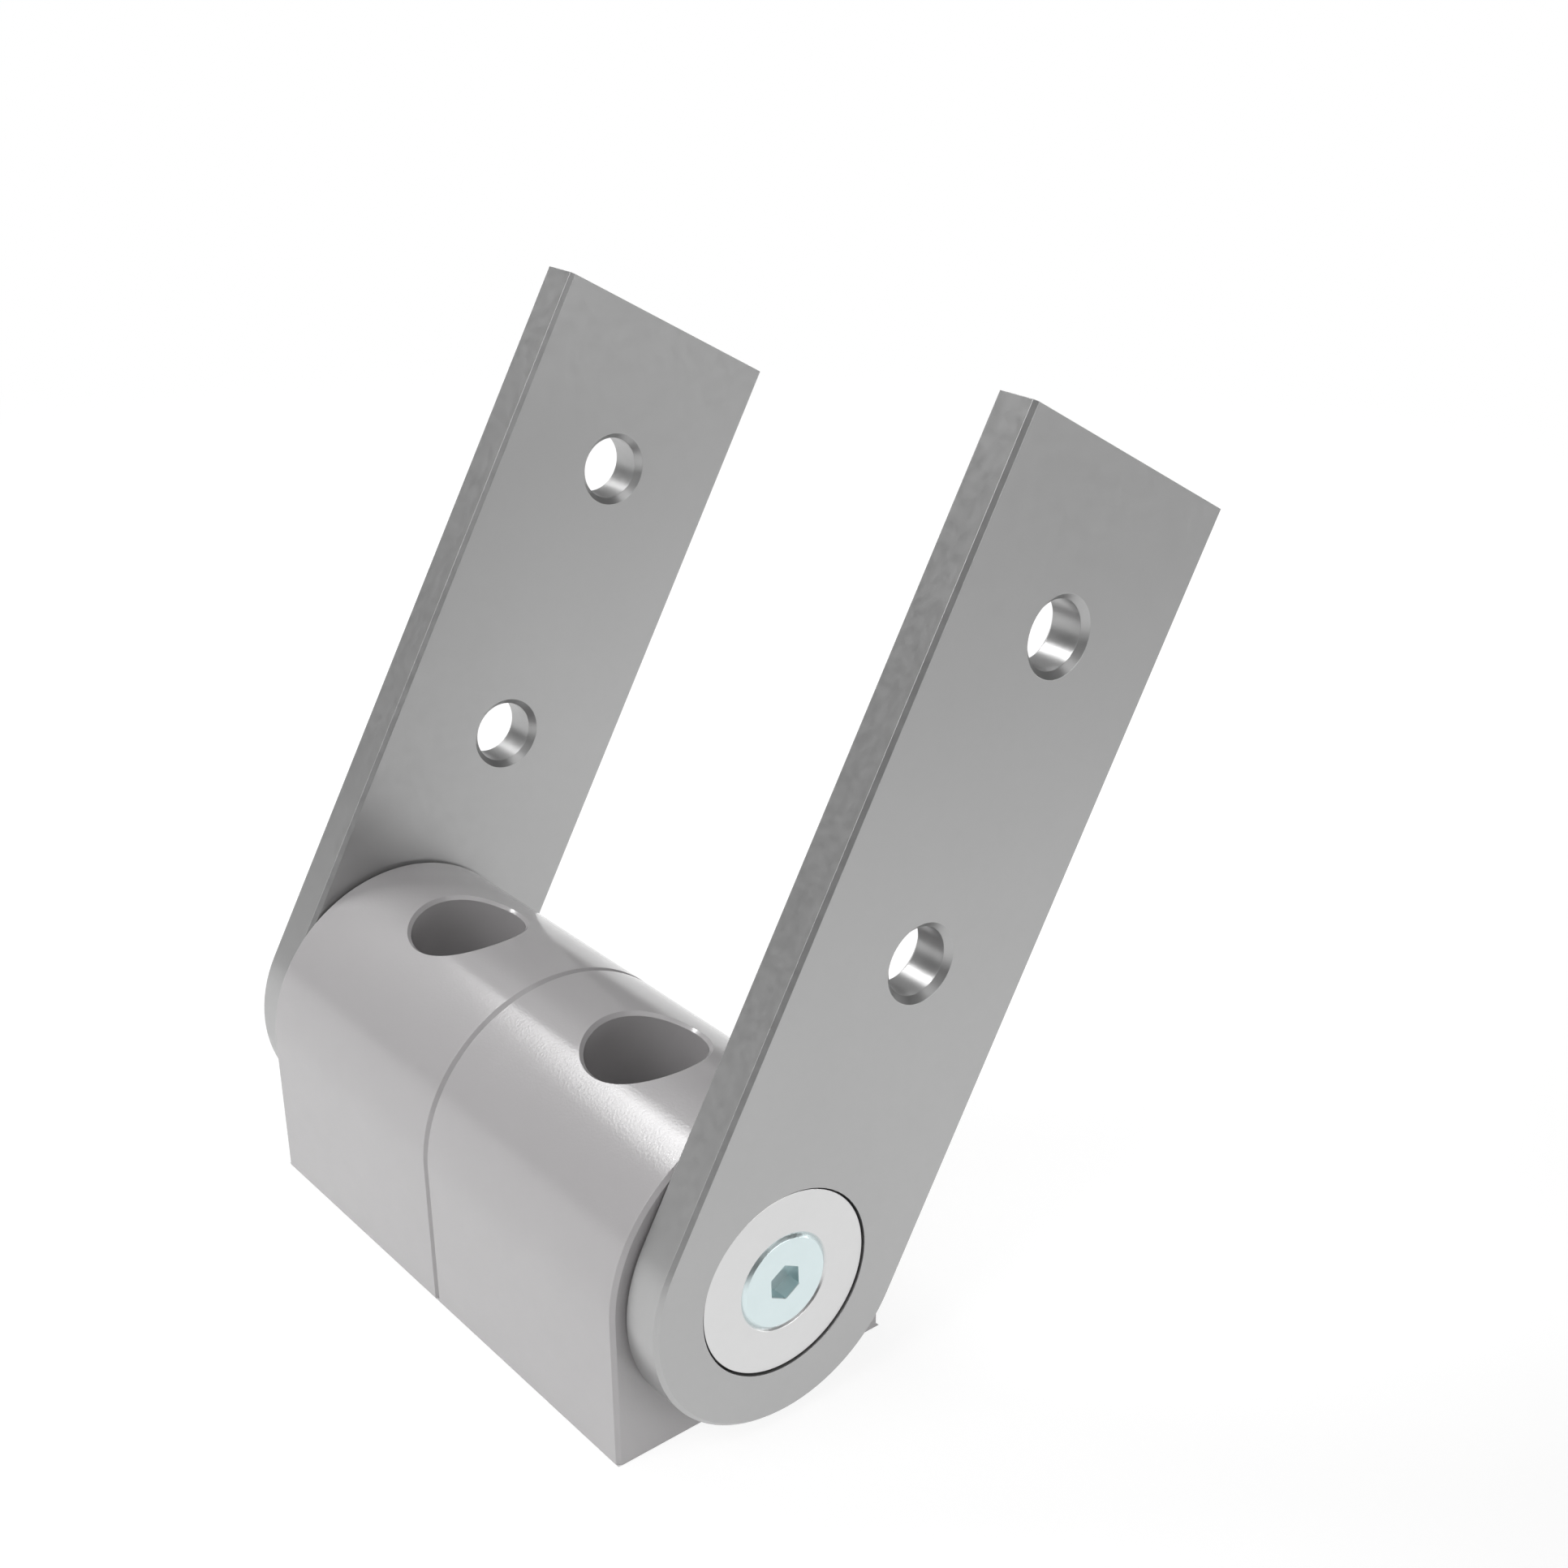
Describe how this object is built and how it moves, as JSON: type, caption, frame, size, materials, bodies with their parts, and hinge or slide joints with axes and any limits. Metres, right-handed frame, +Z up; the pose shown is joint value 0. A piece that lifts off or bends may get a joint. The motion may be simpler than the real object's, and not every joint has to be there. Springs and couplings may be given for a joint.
{
  "type": "profile hinge",
  "caption": "Hinge for framing profile: bored blocks with half-round tops side by side, and flat drilled arms that swing on turned bushes at their outer ends.",
  "frame": {"origin": "centre of the base, under the seam between the two blocks", "axes": "+X along the hinge axis towards the right arm, +Y towards the back, where the arms lean, +Z up"},
  "size_m": [0.0926, 0.0868, 0.1172],
  "materials": {
    "block_paint": "satin",
    "arm_steel": "satin",
    "bush_steel": "satin",
    "screw_zinc": "satin",
    "stud_steel": "satin",
    "bearing_plastic": "matte"
  },
  "bodies": {
    "blocks": {"joining_stud": "stud_steel", "left_block": "block_paint", "left_slide_washer": "bearing_plastic", "left_pivot_bush": "bush_steel", "left_pivot_screw": "screw_zinc", "right_block": "block_paint", "right_slide_washer": "bearing_plastic", "right_pivot_bush": "bush_steel", "right_pivot_screw": "screw_zinc"},
    "left_arm_group": {"left_arm": "arm_steel", "left_bearing_liner": "bearing_plastic"},
    "right_arm_group": {"right_arm": "arm_steel", "right_bearing_liner": "bearing_plastic"}
  },
  "joints": [
    {"name": "left_arm_pivot", "type": "hinge", "parent": "blocks", "child": "left_arm_group", "pos_m": [-0.04325, 0, 0.02], "axis": [1, 0, 0], "range_deg": [-60, 120]},
    {"name": "right_arm_pivot", "type": "hinge", "parent": "blocks", "child": "right_arm_group", "pos_m": [0.04325, 0, 0.02], "axis": [1, 0, 0], "range_deg": [-60, 120]}
  ]
}
